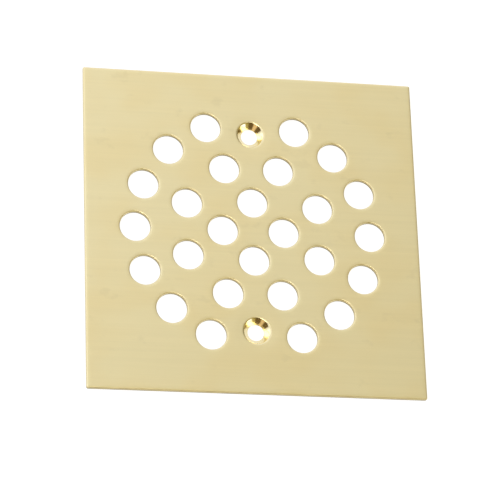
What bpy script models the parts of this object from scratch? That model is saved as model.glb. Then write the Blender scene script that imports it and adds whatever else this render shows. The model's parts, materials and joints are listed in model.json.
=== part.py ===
"""Floor drain grate: a square strainer plate pressed from one sheet of brass.

The real object is a single piece.  A square is blanked from sheet, 26 drain
holes are pierced in three rings, and a pierced and countersunk dimple is
pressed down at each of the two screw holes.  Nothing on it moves.

Frame: +Z points up out of the floor, and the screw holes lie on the Y axis.
The origin is on the plate's centre line, level with the flat rims of the two
dimples, which are its lowest points.  All lengths are in metres.
"""
import math

import bmesh
import bpy
from mathutils import Matrix

MM = 0.001
INCH = 25.4 * MM

# Sheet
PLATE_SIDE = 4.25 * INCH
SHEET = 0.0508 * INCH                # 16 gauge brass
EDGE_ROLL = 0.45 * MM                # rounding that blanking leaves round the face
EDGE_ROLL_STEPS = 2

# Drain holes
DRAIN_HOLE = 9.8 * MM                # diameter
RING_PITCH = math.radians(22.5)      # one place on the outer ring
# Each ring: radius, places of RING_PITCH from one hole to the next, first place, number of places
DRAIN_RINGS = (
    (9.85 * MM, 4, 0, 4),
    (22.9 * MM, 2, 1, 8),
    (37.95 * MM, 1, 0, 16),
)
SCREW_PLACES = (4, 12)               # places on the outer ring left free for the screws

# Screw holes: an 82 degree countersink pressed as a dimple
SCREW_SPACING = 2.625 * INCH
SCREW_HOLE = 5.3 * MM                # diameter of the clearance hole
SINK_MOUTH = 8.8 * MM                # diameter of the cone where it would meet the face
SINK_HALF_ANGLE = math.radians(41.0)
SINK_LAND = 0.30 * MM                # straight wall left under the cone by the piercing
DIMPLE_WALL = 1.10 * MM              # sheet thickness after it is drawn into the cone
MOUTH_ROLL = 0.35 * MM               # how far the rounding at the mouth runs out over the face
MOUTH_ROLL_DEPTH = 0.10 * MM         # depth of the rounding where it meets the cone's own slope

DRAIN_SEGMENTS = 32
SCREW_SEGMENTS = 48
CUTTER_MARGIN = 1.0 * MM             # how far a cutter runs past the metal

# Worked out from the sizes above
SCREW_RADIUS = SCREW_SPACING / 2
SINK_SLOPE = math.tan(SINK_HALF_ANGLE)
SINK_DEPTH = (SINK_MOUTH - SCREW_HOLE) / 2 / SINK_SLOPE
FACE_Z = SINK_DEPTH + SINK_LAND      # top face, with the dimples' rims at zero
BACK_Z = FACE_Z - SHEET
WALL_ACROSS = DIMPLE_WALL / math.cos(SINK_HALF_ANGLE)


def clear_scene():
    """Remove every object that the file opened with."""
    for scene_object in list(bpy.data.objects):
        bpy.data.objects.remove(scene_object, do_unlink=True)


def satin_brass():
    """Pale satin brass."""
    material = bpy.data.materials.new("satin_brass")
    material.use_nodes = True
    shader = material.node_tree.nodes["Principled BSDF"]
    shader.inputs["Base Color"].default_value = (0.72, 0.62, 0.36, 1.0)
    shader.inputs["Metallic"].default_value = 1.0
    shader.inputs["Roughness"].default_value = 0.38
    return material


def drain_centres():
    """Centres of the drain holes, ring by ring."""
    centres = []
    for radius, step, first, places in DRAIN_RINGS:
        for index in range(places):
            place = first + index * step
            if radius > SCREW_RADIUS and place in SCREW_PLACES:
                continue
            angle = place * RING_PITCH
            centres.append((radius * math.cos(angle), radius * math.sin(angle)))
    return centres


def screw_centres():
    """Centres of the two screw holes."""
    return [(0.0, SCREW_RADIUS), (0.0, -SCREW_RADIUS)]


def object_from(name, bm):
    """Turn a bmesh into a smooth-shaded object in the scene."""
    mesh = bpy.data.meshes.new(name)
    bm.to_mesh(mesh)
    bm.free()
    mesh.shade_smooth()
    mesh.set_sharp_from_angle(angle=math.radians(30.0))
    made = bpy.data.objects.new(name, mesh)
    bpy.context.scene.collection.objects.link(made)
    return made


def tool_from(name, bm):
    """An object that shapes the plate and is not a piece of it."""
    tool = object_from(name, bm)
    tool.hide_render = True
    tool.display_type = "WIRE"
    return tool


def plate_blank():
    """The square blank, its face edges and corners rounded over."""
    bm = bmesh.new()
    bmesh.ops.create_cube(bm, size=1.0)
    bmesh.ops.scale(bm, vec=(PLATE_SIDE, PLATE_SIDE, SHEET), verts=bm.verts)
    bmesh.ops.translate(bm, vec=(0.0, 0.0, FACE_Z - SHEET / 2), verts=bm.verts)
    middle_z = FACE_Z - SHEET / 2
    rolled = [edge for edge in bm.edges if any(v.co.z > middle_z for v in edge.verts)]
    bmesh.ops.bevel(
        bm,
        geom=rolled,
        offset=EDGE_ROLL,
        offset_type="OFFSET",
        segments=EDGE_ROLL_STEPS,
        profile=0.5,
        affect="EDGES",
        clamp_overlap=True,
    )
    return object_from("grate_plate", bm)


def add_turned(bm, profile, centre):
    """Spin a profile of (radius, height) points about the vertical line through centre.

    The profile starts and ends on that line, so what it sweeps is closed.
    """
    x, y = centre
    points = [bm.verts.new((x + radius, y, height)) for radius, height in profile]
    lines = [bm.edges.new(pair) for pair in zip(points, points[1:])]
    bmesh.ops.spin(
        bm,
        geom=points + lines,
        cent=(x, y, 0.0),
        axis=(0.0, 0.0, 1.0),
        angle=2 * math.pi,
        steps=SCREW_SEGMENTS,
        use_merge=True,
    )


def dimple_bosses():
    """The sheet drawn down round each screw hole, as solid cones that reach up into the plate."""
    rim_radius = SCREW_HOLE / 2 + WALL_ACROSS - SINK_LAND * SINK_SLOPE
    buried_z = FACE_Z - SHEET / 2
    bm = bmesh.new()
    for x, y in screw_centres():
        bmesh.ops.create_cone(
            bm,
            cap_ends=True,
            segments=SCREW_SEGMENTS,
            radius1=rim_radius,
            radius2=rim_radius + buried_z * SINK_SLOPE,
            depth=buried_z,
            matrix=Matrix.Translation((x, y, buried_z / 2)),
        )
    return tool_from("dimple_bosses", bm)


def countersinks():
    """The punch that forms each cone and clears each screw hole."""
    mouth = SINK_MOUTH / 2
    above_z = FACE_Z + CUTTER_MARGIN
    roll_slope = MOUTH_ROLL / MOUTH_ROLL_DEPTH
    roll_foot = mouth - MOUTH_ROLL_DEPTH * SINK_SLOPE
    profile = [
        (0.0, above_z),
        (roll_foot + (CUTTER_MARGIN + MOUTH_ROLL_DEPTH) * roll_slope, above_z),
        (roll_foot, FACE_Z - MOUTH_ROLL_DEPTH),
        (SCREW_HOLE / 2, SINK_LAND),
        (SCREW_HOLE / 2, -CUTTER_MARGIN),
        (0.0, -CUTTER_MARGIN),
    ]
    bm = bmesh.new()
    for centre in screw_centres():
        add_turned(bm, profile, centre)
    bmesh.ops.remove_doubles(bm, verts=bm.verts, dist=0.001 * MM)
    bmesh.ops.recalc_face_normals(bm, faces=bm.faces)
    return tool_from("countersinks", bm)


def drain_punches():
    """One straight punch for each drain hole."""
    bm = bmesh.new()
    for x, y in drain_centres():
        bmesh.ops.create_cone(
            bm,
            cap_ends=True,
            segments=DRAIN_SEGMENTS,
            radius1=DRAIN_HOLE / 2,
            radius2=DRAIN_HOLE / 2,
            depth=SHEET + 2 * CUTTER_MARGIN,
            matrix=Matrix.Translation((x, y, FACE_Z - SHEET / 2)),
        )
    return tool_from("drain_punches", bm)


def work(target, operation, tool):
    """Join a tool's solid to the target, or cut it away."""
    step = target.modifiers.new(tool.name, "BOOLEAN")
    step.operation = operation
    step.solver = "EXACT"
    step.object = tool


def grate_plate():
    """The whole grate: blank, dimples, then the pierced holes."""
    plate = plate_blank()
    work(plate, "UNION", dimple_bosses())
    work(plate, "DIFFERENCE", countersinks())
    work(plate, "DIFFERENCE", drain_punches())
    plate.data.materials.append(satin_brass())
    return plate


def main():
    clear_scene()
    grate_plate()


main()
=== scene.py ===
"""Looks of the floor drain grate: a square strainer plate pressed from one brass sheet.

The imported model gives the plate's box, the level of its back and the places of its screw
holes.  This script puts a finely made plate in the place of the plain one, and adds the
floor, the light and the camera.  Lengths are in metres, +Z is up out of the floor, and the
screw holes lie on the Y axis.
"""
import json
import math

import bmesh
import bpy
from mathutils import Matrix, Vector, noise
from mathutils.geometry import delaunay_2d_cdt


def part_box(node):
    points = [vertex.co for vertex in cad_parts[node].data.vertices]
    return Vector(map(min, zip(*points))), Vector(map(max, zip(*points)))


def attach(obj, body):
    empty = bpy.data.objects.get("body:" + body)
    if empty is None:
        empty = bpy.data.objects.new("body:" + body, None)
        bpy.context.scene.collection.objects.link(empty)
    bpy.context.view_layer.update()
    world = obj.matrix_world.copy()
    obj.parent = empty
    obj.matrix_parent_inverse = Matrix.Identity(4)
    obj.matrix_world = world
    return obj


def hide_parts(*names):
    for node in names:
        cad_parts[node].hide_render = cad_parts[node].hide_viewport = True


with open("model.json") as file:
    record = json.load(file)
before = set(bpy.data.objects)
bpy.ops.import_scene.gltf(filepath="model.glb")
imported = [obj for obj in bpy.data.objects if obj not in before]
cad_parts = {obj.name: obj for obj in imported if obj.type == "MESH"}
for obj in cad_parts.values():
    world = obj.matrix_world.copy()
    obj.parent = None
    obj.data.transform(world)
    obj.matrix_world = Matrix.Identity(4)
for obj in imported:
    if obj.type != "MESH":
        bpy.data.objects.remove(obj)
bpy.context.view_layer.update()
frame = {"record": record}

MM = 0.001

# ---------------------------------------------------------------- sizes from the frame

PLATE_LOW, PLATE_HIGH = (Vector(corner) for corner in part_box("grate_plate"))
MOUNTS = {mount["name"]: mount for mount in frame["record"]["mounts"]}
HALF_SIDE = (PLATE_HIGH.x - PLATE_LOW.x) / 2
RIM_Z = PLATE_LOW.z                                  # flat rims of the two dimples
FACE_Z = PLATE_HIGH.z
BACK_Z = MOUNTS["underside"]["pos_m"][2]
SHEET = FACE_Z - BACK_Z
SCREW_RADIUS = MOUNTS["screw_seat_pos_y"]["pos_m"][1]

# ---------------------------------------------------------------- sizes of the design

DRAIN_RADIUS = 4.9 * MM
RING_PITCH = math.radians(22.5)
# Each ring: radius, places of RING_PITCH from one hole to the next, first place, number of places
DRAIN_RINGS = ((9.85 * MM, 4, 0, 4), (22.9 * MM, 2, 1, 8), (37.95 * MM, 1, 0, 16))
SCREW_PLACES = (4, 12)                               # places on the outer ring left for the screws

SCREW_HOLE_RADIUS = 2.65 * MM
SINK_MOUTH_RADIUS = 4.4 * MM
SINK_HALF_ANGLE = math.radians(41.0)
SINK_SLOPE = math.tan(SINK_HALF_ANGLE)
SINK_LAND = 0.30 * MM                                # straight wall under the cone
DIMPLE_WALL = 1.10 * MM                              # sheet thickness once it is drawn into the cone

# ---------------------------------------------------------------- fine shape of the cut edges

LIP_ROLL = 0.42 * MM           # rounding where a drain hole is pierced
SIDE_ROLL = 0.45 * MM          # rounding where the square was blanked
DROOP = 0.04 * MM              # how far the face sinks towards every cut
DROOP_REACH = 1.0 * MM         # how far from the cut it starts to sink
DROOP_ROLL = 16.0 * MM         # how gently it starts
DROOP_MARGIN = 0.5 * MM        # flat face round that, where the hole's own rows start
WORN_DROP = 0.1                # share of a rounding's depth where its wear is full
WORN_FADE = 0.5                # share of the wear that is gone at the rounding's foot
BURNISH = 0.62                 # share of the sheet that is cut smoothly before it tears
TEAR_FLARE = 0.06 * MM         # how much wider the torn part of a cut is
TEAR_WANDER = 0.07 * MM        # how far the line between cut and tear wanders
# Rows of the tear: share of the flare, depth under the smooth cut, share of the wander
TEAR_ROWS = ((0.4, 0.08 * MM, 1.0), (0.8, 0.25 * MM, 0.6))
WANDER_COARSE = 0.9            # waves of the wandering for each mm
WANDER_FINE = 2.3
WANDER_FINE_SHARE = 0.5
BURR = 0.03 * MM               # bevel where the tear leaves the back
WALL_ROWS = 3                  # rows of a lip that belong to the wall: below its rounding
SUPPORT = 0.04 * MM            # narrow band beside a rounding, which keeps its shading its own

CORNER_RADIUS = 0.60 * MM      # the square's four corners, seen from above
CORNER_LEAST = 0.03 * MM       # keeps the outline's points apart well inside the plate
CORNER_STEPS = 8
SIDE_STEPS = 60
ROUND_STEPS = 6
DRAIN_SEGMENTS = 80

# ---------------------------------------------------------------- fine shape of the dimples

SCREW_SEGMENTS = 144
DISH_RADIUS = 7.0 * MM         # the face is drawn down a little round each dimple
DISH_DEPTH = 0.05 * MM
DISH_ROLL = 60.0 * MM
DISH_MARGIN = 1.0 * MM         # flat face round that, where the dimple's own rows start
DISH_STEPS = 10
MOUTH_ROLL = 1.0 * MM          # rounding from the face into the cone
MOUTH_WORN_STEPS = 6           # steps of that rounding over which the grain is rubbed away
FOOT_ROLL = 0.10 * MM          # rounding at the bottom of the cone
RIM_ROLL_INSIDE = 0.05 * MM
RIM_ROLL_OUTSIDE = 0.15 * MM
ROOT_ROLL = 0.60 * MM          # rounding between a boss and the back
ROOT_MARGIN = 1.4 * MM         # flat back round a boss that is made with it
HOLE_CLEARANCE = 0.06 * MM     # the boss's outside starts this far from the screw hole
BACK_CLEARANCE = 0.01 * MM     # and its surface counts as back up to this far over the back

SHARP_ANGLE = math.radians(35.0)
FILL_INSIDE = 1                # asks the triangulation for what lies inside the first loop
FILL_CLOSE = 1e-9              # points nearer than this would count as one

FACE_SLOT, DIMPLE_SLOT, CUT_SLOT, BACK_SLOT = range(4)


# ---------------------------------------------------------------- profiles

def rounded(corners, steps=ROUND_STEPS):
    """Points along a profile whose corners are (across, height, rounding radius)."""
    points = [Vector(corners[0][:2])]
    for before, corner, after in zip(corners, corners[1:], corners[2:]):
        here = Vector(corner[:2])
        radius = corner[2]
        if radius <= 0.0:
            points.append(here)
            continue
        back = (Vector(before[:2]) - here).normalized()
        ahead = (Vector(after[:2]) - here).normalized()
        half_angle = back.angle(ahead) / 2
        reach = radius / math.tan(half_angle)
        centre = here + (back + ahead).normalized() * radius / math.sin(half_angle)
        start = here + back * reach - centre
        turn = start.angle_signed(here + ahead * reach - centre)
        points.append(here + back * (reach + SUPPORT))
        for step in range(steps + 1):
            points.append(centre + Matrix.Rotation(-turn * step / steps, 2) @ start)
        points.append(here + ahead * (reach + SUPPORT))
    points.append(Vector(corners[-1][:2]))
    return points


def cut_edge(wall, outward, roll):
    """A cut through the sheet: its lip down to the end of the smooth part, and its torn part.

    wall is where the smooth part stands, and outward is +1 or -1 for the side the metal is on.
    The lip is a list of (across, height), and the tear of (across, height, wander).
    """
    tear_z = FACE_Z - BURNISH * SHEET
    lip = rounded([
        (wall + outward * (DROOP_REACH + DROOP_MARGIN), FACE_Z, 0.0),
        (wall + outward * DROOP_REACH, FACE_Z, DROOP_ROLL),
        (wall, FACE_Z - DROOP, roll),
        (wall, tear_z, 0.0),
    ])
    tear = [
        (wall + outward * flare * TEAR_FLARE, tear_z - depth, wander * TEAR_WANDER)
        for flare, depth, wander in TEAR_ROWS
    ]
    tear.append((wall + outward * TEAR_FLARE, BACK_Z + BURR, 0.0))
    tear.append((wall + outward * (TEAR_FLARE + BURR), BACK_Z, 0.0))
    return lip, tear


def dimple_profile():
    """A pressed screw hole: from the face to its cone, and from the cone under the rim to the back."""
    rim_radius = SCREW_HOLE_RADIUS + DIMPLE_WALL / math.cos(SINK_HALF_ANGLE) - SINK_LAND * SINK_SLOPE
    root_radius = rim_radius + (BACK_Z - RIM_Z) * SINK_SLOPE
    dish = [
        (DISH_RADIUS + DISH_MARGIN, FACE_Z, 0.0),
        (DISH_RADIUS, FACE_Z, DISH_ROLL),
        (SINK_MOUTH_RADIUS - DISH_DEPTH * SINK_SLOPE, FACE_Z - DISH_DEPTH, MOUTH_ROLL),
        (SCREW_HOLE_RADIUS, RIM_Z + SINK_LAND, 0.0),
    ]
    cone = [
        (SINK_MOUTH_RADIUS, FACE_Z, 0.0),
        (SCREW_HOLE_RADIUS, RIM_Z + SINK_LAND, FOOT_ROLL),
        (SCREW_HOLE_RADIUS, RIM_Z, RIM_ROLL_INSIDE),
        (rim_radius, RIM_Z, RIM_ROLL_OUTSIDE),
        (root_radius, BACK_Z, ROOT_ROLL),
        (root_radius + ROOT_MARGIN, BACK_Z, 0.0),
    ]
    return rounded(dish, steps=DISH_STEPS)[:-1], rounded(cone)[1:]


# ---------------------------------------------------------------- plan of the holes

def drain_centres():
    """Centres of the drain holes, ring by ring."""
    centres = []
    for radius, step, first, places in DRAIN_RINGS:
        for index in range(places):
            place = first + index * step
            if radius > SCREW_RADIUS and place in SCREW_PLACES:
                continue
            angle = place * RING_PITCH
            centres.append(Vector((radius * math.cos(angle), radius * math.sin(angle))))
    return centres


def screw_centres():
    """Centres of the two screw holes."""
    return [Vector((0.0, SCREW_RADIUS)), Vector((0.0, -SCREW_RADIUS))]


def circle_outline(centre, segments):
    """A function that gives the circle of a radius about a centre."""
    turns = [2 * math.pi * index / segments for index in range(segments)]
    spokes = [Vector((math.cos(turn), math.sin(turn))) for turn in turns]
    return lambda radius: [centre + spoke * radius for spoke in spokes]


def square_outline(inset):
    """The plate's outline, moved in by inset, with rounded corners."""
    half = HALF_SIDE - inset
    radius = max(CORNER_RADIUS - inset, CORNER_LEAST)
    points = []
    for quarter in range(4):
        turned = Matrix.Rotation(quarter * math.pi / 2, 2)
        centre = Vector((half - radius, half - radius))
        for step in range(CORNER_STEPS + 1):
            angle = step * math.pi / 2 / CORNER_STEPS
            spoke = Vector((math.cos(angle), math.sin(angle)))
            points.append(turned @ (centre + radius * spoke))
        along = 2 * (half - radius)
        for step in range(1, SIDE_STEPS):
            points.append(turned @ Vector((half - radius - along * step / SIDE_STEPS, half)))
    return points


# ---------------------------------------------------------------- the mesh

class PlateMesh:
    """The plate's surface, built ring by ring round each edge and then filled between them.

    Two values go with every vertex: worn, from 0 on the ground face to 1 on a rubbed
    rounding, and torn, 1 on the torn part of a cut.
    """

    def __init__(self):
        self.bm = bmesh.new()
        self.worn = self.bm.verts.layers.float.new("worn")
        self.torn = self.bm.verts.layers.float.new("torn")
        self.face_loops = []
        self.back_loops = []

    def ring(self, outline, across, height, worn=0.0, torn=0.0, wander=0.0):
        """One closed row of vertices. wander moves it up and down unevenly, by about that much."""
        row = []
        for point in outline(across):
            z = height
            if wander:
                here = Vector((point.x, point.y, 0.0)) / MM
                fine = WANDER_FINE_SHARE * noise.noise(here * WANDER_FINE)
                z += wander * (noise.noise(here * WANDER_COARSE) + fine)
            vertex = self.bm.verts.new((point.x, point.y, z))
            vertex[self.worn] = worn
            vertex[self.torn] = torn
            row.append(vertex)
        return row

    def band(self, above, below, slot):
        """The faces between two rows."""
        count = len(above)
        for index in range(count):
            after = (index + 1) % count
            face = self.bm.faces.new((above[index], above[after], below[after], below[index]))
            face.material_index = slot

    def cut(self, outline, wall, outward, roll):
        """A pierced hole or the blanked outside of the plate."""
        lip, tear = cut_edge(wall, outward, roll)
        rows = []
        for index, (across, height) in enumerate(lip):
            drop = min(max((FACE_Z - DROOP - height) / roll, 0.0), 1.0)
            worn = min(drop / WORN_DROP, 1.0) * (1.0 - WORN_FADE * drop)
            wander = TEAR_WANDER if index == len(lip) - 1 else 0.0
            rows.append(self.ring(outline, across, height, worn=worn, wander=wander))
        wall_start = len(lip) - WALL_ROWS
        for index in range(len(rows) - 1):
            slot = FACE_SLOT if index < wall_start else CUT_SLOT
            self.band(rows[index], rows[index + 1], slot)
        for across, height, wander in tear:
            rows.append(self.ring(outline, across, height, torn=1.0, wander=wander))
            self.band(rows[-2], rows[-1], CUT_SLOT)
        self.face_loops.append(rows[0])
        self.back_loops.append(rows[-1])

    def dimple(self, centre):
        """A screw hole pressed down as a cone."""
        outline = circle_outline(centre, SCREW_SEGMENTS)
        upper, lower = dimple_profile()
        mouth_start = len(upper) - DISH_STEPS - 2
        polish_start = mouth_start + MOUTH_WORN_STEPS
        rows = []
        for index, (across, height) in enumerate(upper):
            worn = max(0.0, min(1.0, (index - mouth_start) / MOUTH_WORN_STEPS))
            rows.append(self.ring(outline, across, height, worn=worn))
            if index:
                self.band(rows[-2], rows[-1], FACE_SLOT if index < polish_start else DIMPLE_SLOT)
        for across, height in lower:
            rows.append(self.ring(outline, across, height))
            outside = across > SCREW_HOLE_RADIUS + HOLE_CLEARANCE
            under = outside and height < BACK_Z + BACK_CLEARANCE
            self.band(rows[-2], rows[-1], BACK_SLOT if under else DIMPLE_SLOT)
        self.face_loops.append(rows[0])
        self.back_loops.append(rows[-1])

    def fill(self, loops, slot):
        """Flat faces between the outline, which comes first, and the holes in it."""
        vertices = [vertex for loop in loops for vertex in loop]
        edges = []
        start = 0
        for loop in loops:
            count = len(loop)
            edges += [(start + index, start + (index + 1) % count) for index in range(count)]
            start += count
        flat = [vertex.co.xy for vertex in vertices]
        holes = []
        for loop in loops[1:]:
            centre = sum((vertex.co.xy for vertex in loop), Vector((0.0, 0.0))) / len(loop)
            holes.append((centre, (loop[0].co.xy - centre).length))
        triangles = delaunay_2d_cdt(flat, edges, [], FILL_INSIDE, FILL_CLOSE)[2]
        for triangle in triangles:
            middle = sum((flat[index] for index in triangle), Vector((0.0, 0.0))) / 3
            if any((middle - centre).length < radius for centre, radius in holes):
                continue
            face = self.bm.faces.new([vertices[index] for index in triangle])
            face.material_index = slot

    def finish(self, name):
        """Close the face and the back, and make the object."""
        self.fill(self.face_loops, FACE_SLOT)
        self.fill(self.back_loops, BACK_SLOT)
        bmesh.ops.recalc_face_normals(self.bm, faces=self.bm.faces)
        mesh = bpy.data.meshes.new(name)
        self.bm.to_mesh(mesh)
        self.bm.free()
        mesh.shade_smooth()
        mesh.set_sharp_from_angle(angle=SHARP_ANGLE)
        made = bpy.data.objects.new(name, mesh)
        bpy.context.scene.collection.objects.link(made)
        return made


def build_plate():
    """The whole plate: its outside, its drain holes and its two dimples."""
    plate = PlateMesh()
    plate.cut(square_outline, 0.0, 1.0, SIDE_ROLL)
    for centre in drain_centres():
        plate.cut(circle_outline(centre, DRAIN_SEGMENTS), DRAIN_RADIUS, 1.0, LIP_ROLL)
    for centre in screw_centres():
        plate.dimple(centre)
    return plate.finish("pressed_plate")


# ---------------------------------------------------------------- materials

class Shading:
    """A metal surface and short ways to add the nodes that pattern it.

    Patterns are laid out in millimetres over the part.
    """

    def __init__(self, name, colour, roughness):
        self.roughness = roughness
        self.material = bpy.data.materials.new(name)
        self.material.use_nodes = True
        self.tree = self.material.node_tree
        self.shader = self.tree.nodes["Principled BSDF"]
        self.shader.inputs["Metallic"].default_value = 1.0
        self.shader.inputs["Base Color"].default_value = (*colour, 1.0)
        self.shader.inputs["Roughness"].default_value = roughness
        self.place = self.add("ShaderNodeTexCoord").outputs["Object"]

    def add(self, kind, **settings):
        """A new node with some of its settings."""
        made = self.tree.nodes.new(kind)
        for name, value in settings.items():
            setattr(made, name, value)
        return made

    def put(self, socket, value):
        """Link a socket to another, or give it a value."""
        if isinstance(value, bpy.types.NodeSocket):
            self.tree.links.new(value, socket)
        else:
            socket.default_value = value

    def put_colour(self, socket, colour):
        """Link a colour socket to another, or give it a colour of three numbers."""
        self.put(socket, colour if isinstance(colour, bpy.types.NodeSocket) else (*colour, 1.0))

    def math(self, operation, first, second=0.0):
        """The result of a sum on two values."""
        made = self.add("ShaderNodeMath", operation=operation)
        self.put(made.inputs[0], first)
        self.put(made.inputs[1], second)
        return made.outputs[0]

    def stretched(self, across):
        """The place on the part, with each axis multiplied by its number of features per mm."""
        made = self.add("ShaderNodeVectorMath", operation="MULTIPLY")
        self.put(made.inputs[0], self.place)
        made.inputs[1].default_value = [number / MM for number in across]
        return made.outputs[0]

    def noise(self, across, detail=2.0, seed=0.0, vector=None):
        """Smooth noise from 0 to 1, as fine along each axis as across says, or read at vector."""
        made = self.add("ShaderNodeTexNoise", noise_dimensions="4D")
        self.put(made.inputs["Vector"], vector or self.stretched(across))
        made.inputs["W"].default_value = seed
        made.inputs["Scale"].default_value = 1.0
        made.inputs["Detail"].default_value = detail
        return made.outputs["Fac"]

    def between(self, value, low, high):
        """A value's way from low to high, as 0 to 1 with a soft start and end."""
        made = self.add("ShaderNodeMapRange", interpolation_type="SMOOTHSTEP")
        for name, number in zip(("Value", "From Min", "From Max"), (value, low, high)):
            self.put(made.inputs[name], number)
        return made.outputs["Result"]

    def attribute(self, name):
        """A value that goes with the mesh's vertices."""
        return self.add("ShaderNodeAttribute", attribute_name=name).outputs["Fac"]

    def mixed(self, share, first, second):
        """Between two colours."""
        made = self.add("ShaderNodeMix", data_type="RGBA")
        self.put(made.inputs["Factor"], share)
        self.put_colour(made.inputs["A"], first)
        self.put_colour(made.inputs["B"], second)
        return made.outputs["Result"]

    def shaded(self, colour, amount):
        """A colour made lighter or darker by a factor."""
        made = self.add("ShaderNodeVectorMath", operation="SCALE")
        self.put(made.inputs[0], colour)
        self.put(made.inputs["Scale"], amount)
        return made.outputs[0]

    def total(self, start, *parts):
        """start plus each (value, weight), the values counted from their middle at 0.5."""
        result = start
        for value, weight in parts:
            centred = self.math("SUBTRACT", value, 0.5)
            result = self.math("ADD", self.math("MULTIPLY", centred, weight), result)
        return result

    def rougher(self, *parts):
        """The surface's roughness, with parts as in total."""
        return self.total(self.roughness, *parts)

    def bump(self, height, depth, strength=1.0, below=None):
        """A fine relief, laid over the one below it."""
        made = self.add("ShaderNodeBump")
        made.inputs["Strength"].default_value = strength
        made.inputs["Distance"].default_value = depth
        self.put(made.inputs["Height"], height)
        if below:
            self.put(made.inputs["Normal"], below)
        return made.outputs["Normal"]

    def finish(self, colour, roughness, normal):
        """Give the surface its patterns."""
        self.put(self.shader.inputs["Base Color"], colour)
        self.put(self.shader.inputs["Roughness"], roughness)
        self.put(self.shader.inputs["Normal"], normal)
        return self.material


BRASS = (0.84, 0.74, 0.435)            # a clean, fine-ground face
BRASS_WARM = (0.82, 0.70, 0.385)       # where handling has dulled it
BRASS_LIP = (0.70, 0.60, 0.33)         # the roundings that cutting leaves
BRASS_POLISHED = (0.77, 0.665, 0.385)  # drawn smooth by the punch
# The two cut colours below are partly the dull sheared metal's own tone and partly painted shade for
# the inside of the holes.
BRASS_CUT_AND_SHADE = (0.36, 0.28, 0.12)         # the smooth part of a cut
BRASS_TORN_AND_SHADE = (0.20, 0.155, 0.055)      # the torn part below it
BRASS_BACK = (0.66, 0.545, 0.28)       # sheet as it was rolled
BRASS_BLOTCH = (0.58, 0.45, 0.21)      # stains on that


def ground_brass():
    """The face: fine grain along X, faint cloudiness and a few smudges, duller on its rounded edges."""
    s = Shading("ground_brass", BRASS, 0.34)
    grain = s.noise((0.05, 7.0, 2.0), detail=4.0, seed=1.0)
    streaks = s.noise((0.012, 0.9, 0.5), detail=3.0, seed=2.0)
    cloud = s.noise((0.045, 0.06, 0.05), detail=2.0, seed=3.0)
    smudge = s.between(s.noise((0.16, 0.22, 0.2), detail=3.0, seed=4.0), 0.60, 0.74)
    worn = s.attribute("worn")
    light = s.total(1.0, (grain, 0.06), (streaks, 0.07), (cloud, 0.06))
    light = s.math("SUBTRACT", light, s.math("MULTIPLY", smudge, 0.05))
    base = s.mixed(s.between(cloud, 0.35, 0.70), BRASS, BRASS_WARM)
    base = s.mixed(worn, s.shaded(base, light), BRASS_LIP)
    rough = s.rougher((grain, 0.10), (streaks, 0.08), (cloud, 0.04))
    rough = s.math("ADD", rough, s.math("MULTIPLY", smudge, 0.06))
    rough = s.math("ADD", rough, s.math("MULTIPLY", worn, 0.16))
    fade = s.math("SUBTRACT", 1.0, worn)
    normal = s.bump(s.math("MULTIPLY", grain, fade), 0.006 * MM)
    normal = s.bump(cloud, 0.05 * MM, below=normal)
    return s.finish(base, rough, normal)


def polished_brass():
    """The dimples, drawn smooth by the punch, with its faint rings."""
    s = Shading("polished_brass", BRASS_POLISHED, 0.13)
    split = s.add("ShaderNodeSeparateXYZ")
    s.put(split.inputs[0], s.place)
    out_y = s.math("SUBTRACT", s.math("ABSOLUTE", split.outputs["Y"]), SCREW_RADIUS)
    spot = s.add("ShaderNodeCombineXYZ")
    s.put(spot.inputs["X"], split.outputs["X"])
    s.put(spot.inputs["Y"], out_y)
    length = s.add("ShaderNodeVectorMath", operation="LENGTH")
    s.put(length.inputs[0], spot.outputs[0])
    radius = s.add("ShaderNodeCombineXYZ")
    s.put(radius.inputs["X"], s.math("MULTIPLY", length.outputs["Value"], 9.0 / MM))
    rings = s.noise(None, detail=2.0, seed=5.0, vector=radius.outputs[0])
    cloud = s.noise((0.5, 0.5, 0.5), detail=3.0, seed=6.0)
    base = s.shaded(s.mixed(cloud, BRASS_POLISHED, BRASS_WARM), s.total(0.98, (rings, 0.08)))
    rough = s.rougher((rings, 0.06), (cloud, 0.08))
    return s.finish(base, rough, s.bump(rings, 0.002 * MM))


def sheared_brass():
    """The cut edges: drag lines down the smooth part, and a dull, grainy tear below it, both darkened
    with painted shade for the inside of the holes.
    """
    s = Shading("sheared_brass", BRASS_CUT_AND_SHADE, 0.46)
    drag = s.noise((5.0, 5.0, 0.5), detail=3.0, seed=7.0)
    grit = s.noise((9.0, 9.0, 9.0), detail=4.0, seed=8.0)
    torn = s.attribute("torn")
    # Painted shade: the smooth and torn parts take colours darker than cut brass, standing for the
    # shade inside the holes.
    smooth_part = s.shaded(BRASS_CUT_AND_SHADE, s.total(1.0, (drag, 0.5)))
    torn_part = s.shaded(BRASS_TORN_AND_SHADE, s.total(1.0, (grit, 0.7)))
    base = s.mixed(torn, smooth_part, torn_part)
    rough = s.math("ADD", s.rougher((drag, 0.14)), s.math("MULTIPLY", torn, 0.16))
    normal = s.bump(drag, 0.012 * MM, 0.8)
    normal = s.bump(s.math("MULTIPLY", grit, torn), 0.05 * MM, below=normal)
    return s.finish(base, rough, normal)


def raw_brass():
    """The back: sheet as it was rolled, duller and blotched, with its rolling lines along X."""
    s = Shading("raw_brass", BRASS_BACK, 0.42)
    lines = s.noise((0.02, 2.4, 1.0), detail=4.0, seed=9.0)
    blotch = s.noise((0.06, 0.08, 0.1), detail=4.0, seed=10.0)
    specks = s.between(s.noise((1.4, 1.4, 1.4), detail=2.0, seed=11.0), 0.66, 0.76)
    light = s.total(1.0, (lines, 0.16), (blotch, 0.22))
    light = s.math("SUBTRACT", light, s.math("MULTIPLY", specks, 0.12))
    base = s.shaded(s.mixed(s.between(blotch, 0.35, 0.65), BRASS_BACK, BRASS_BLOTCH), light)
    rough = s.rougher((lines, 0.12), (blotch, 0.16))
    return s.finish(base, rough, s.bump(lines, 0.010 * MM))


# ---------------------------------------------------------------- floor

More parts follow.
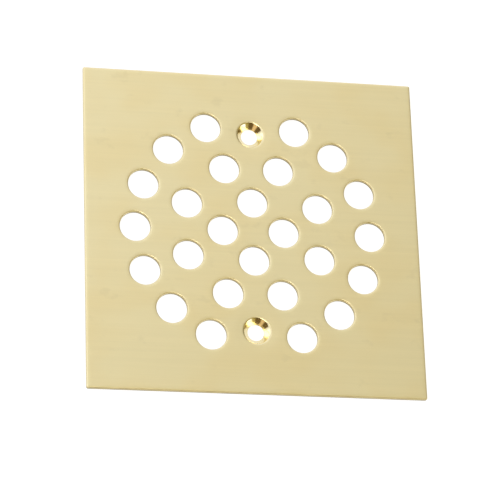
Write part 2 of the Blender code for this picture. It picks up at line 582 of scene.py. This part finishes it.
FLOOR_REACH = 30.0
FLOOR_GAP = 0.05 * MM                  # keeps the floor clear of the rims that stand on it
FLOOR_COLOUR = (0.15, 0.15, 0.15)
FLOOR_ROUGHNESS = 0.9
FLOOR_GLOW = 0.93


def add_floor():
    """A plain white floor, lit from within like a light table, so that no shadow stays on it."""
    mesh = bpy.data.meshes.new("floor")
    corners = [(x * FLOOR_REACH, y * FLOOR_REACH, 0.0) for x, y in ((-1, -1), (1, -1), (1, 1), (-1, 1))]
    mesh.from_pydata(corners, [], [(0, 1, 2, 3)])
    floor = bpy.data.objects.new("floor", mesh)
    floor.location.z = RIM_Z - FLOOR_GAP
    bpy.context.scene.collection.objects.link(floor)
    material = bpy.data.materials.new("white_floor")
    material.use_nodes = True
    shader = material.node_tree.nodes["Principled BSDF"]
    shader.inputs["Base Color"].default_value = (*FLOOR_COLOUR, 1.0)
    shader.inputs["Roughness"].default_value = FLOOR_ROUGHNESS
    shader.inputs["Emission Color"].default_value = (1.0, 1.0, 1.0, 1.0)
    shader.inputs["Emission Strength"].default_value = FLOOR_GLOW
    mesh.materials.append(material)


# ---------------------------------------------------------------- light

def direction(azimuth, elevation):
    """A unit vector. Azimuth 0 is +X and 90 is +Y, both in degrees."""
    turn, lift = math.radians(azimuth), math.radians(elevation)
    return Vector((
        math.cos(turn) * math.cos(lift),
        math.sin(turn) * math.cos(lift),
        math.sin(lift),
    ))


# Patches of the studio, each laid over those before it:
# direction, half-angle where it is full, half-angle where it ends, colour
PATCHES = (
    # the dark room behind the camera
    (direction(-120.0, 2.0), 45.0, 55.5, (0.185, 0.125, 0.055)),
    # a wooden door at its far end
    (direction(-120.0, 26.0), 9.0, 19.0, (1.04, 0.79, 0.51)),
    # an unlit gap beside the softbox over the camera
    (direction(-74.0, 46.0), 10.0, 19.0, (0.14, 0.10, 0.05)),
    # a gap between the ceiling panels
    (direction(15.0, 60.0), 4.0, 20.0, (0.55, 0.55, 0.55)),
    # a doorway behind on the right
    (direction(30.0, 22.0), 10.0, 26.0, (0.28, 0.28, 0.28)),
    # a softbox in front on the right
    (direction(-33.0, 15.0), 12.0, 20.0, (2.0, 2.1, 2.6)),
    # a softbox behind on the left
    (direction(160.0, 13.0), 12.0, 21.0, (1.75, 1.85, 2.2)),
    # a softbox over the camera
    (direction(-120.0, 68.0), 9.0, 15.0, (6.0, 6.0, 6.0)),
)
SKY_AXIS = Vector((-0.74, 0.67, 0.0))  # the room grows brighter and cooler this way
SKY_SPAN = (-0.10, 0.30)               # where along that axis the change starts and ends
SKY_LOW = (0.545, 0.46, 0.18)
SKY_HIGH = (1.20, 1.24, 1.41)
HORIZON = (1.10, 1.10, 1.10)
HORIZON_SPAN = (5.0, 2.0)              # the bright horizon ends at 5 degrees up and is full under 2


def add_studio():
    """A white room, brighter and cooler towards one side, with patches of light and dark in it."""
    world = bpy.data.worlds.new("studio")
    bpy.context.scene.world = world
    world.use_nodes = True
    tree = world.node_tree
    place = tree.nodes.new("ShaderNodeTexCoord").outputs["Generated"]

    def share(axis, start, end, kind="SMOOTHSTEP"):
        """0 to 1 as the direction's way along axis goes from start to end."""
        along = tree.nodes.new("ShaderNodeVectorMath")
        along.operation = "DOT_PRODUCT"
        tree.links.new(place, along.inputs[0])
        along.inputs[1].default_value = axis
        step = tree.nodes.new("ShaderNodeMapRange")
        step.interpolation_type = kind
        step.inputs["From Min"].default_value = start
        step.inputs["From Max"].default_value = end
        tree.links.new(along.outputs["Value"], step.inputs["Value"])
        return step.outputs["Result"]

    def over(amount, colour, below=None):
        """A colour laid over what is below it, or over the darker side of the room."""
        mix = tree.nodes.new("ShaderNodeMix")
        mix.data_type = "RGBA"
        tree.links.new(amount, mix.inputs["Factor"])
        if below:
            tree.links.new(below, mix.inputs["A"])
        else:
            mix.inputs["A"].default_value = (*SKY_LOW, 1.0)
        mix.inputs["B"].default_value = (*colour, 1.0)
        return mix.outputs["Result"]

    sky = over(share(SKY_AXIS, *SKY_SPAN, kind="LINEAR"), SKY_HIGH)
    ends, full = (math.sin(math.radians(angle)) for angle in HORIZON_SPAN)
    sky = over(share(Vector((0.0, 0.0, 1.0)), ends, full), HORIZON, sky)
    for towards, full_angle, end_angle, colour in PATCHES:
        edge = math.cos(math.radians(end_angle))
        middle = math.cos(math.radians(full_angle))
        sky = over(share(towards, edge, middle), colour, sky)
    tree.links.new(sky, tree.nodes["Background"].inputs["Color"])


# ---------------------------------------------------------------- camera

CAMERA_ANGLES = (-29.4, 65.4, 29.8)    # azimuth, with 0 looking along +Y, elevation and roll
CAMERA_AIM = Vector((-1.4 * MM, -6.35 * MM, FACE_Z))
CAMERA_DISTANCE = 0.8755
CAMERA_SENSOR = 36.0                   # both in millimetres, as Blender has them
CAMERA_LENS = 199.9
CAMERA_CLIP = (0.01, 200.0)


def add_camera():
    """The camera, rolled about its line of sight so that the screw holes stand one above the other."""
    azimuth, elevation, roll = (math.radians(angle) for angle in CAMERA_ANGLES)
    back = Vector((
        math.sin(azimuth) * math.cos(elevation),
        -math.cos(azimuth) * math.cos(elevation),
        math.sin(elevation),
    ))
    level = Vector((math.cos(azimuth), math.sin(azimuth), 0.0))
    upright = back.cross(level)
    right = math.cos(roll) * level + math.sin(roll) * upright
    up = math.cos(roll) * upright - math.sin(roll) * level
    data = bpy.data.cameras.new("camera")
    data.sensor_width = CAMERA_SENSOR
    data.lens = CAMERA_LENS
    data.clip_start, data.clip_end = CAMERA_CLIP
    camera = bpy.data.objects.new("camera", data)
    turned = Matrix((right, up, back)).transposed().to_4x4()
    camera.matrix_world = Matrix.Translation(CAMERA_AIM + back * CAMERA_DISTANCE) @ turned
    bpy.context.scene.collection.objects.link(camera)
    bpy.context.scene.camera = camera


# ---------------------------------------------------------------- the scene

def main():
    """The plate with its materials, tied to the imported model, and the stage round it."""
    plate = build_plate()
    for material in (ground_brass(), polished_brass(), sheared_brass(), raw_brass()):
        plate.data.materials.append(material)
    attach(plate, "root")
    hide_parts("grate_plate")
    add_floor()
    add_studio()
    add_camera()
    bpy.context.scene.view_settings.view_transform = "Standard"


main()
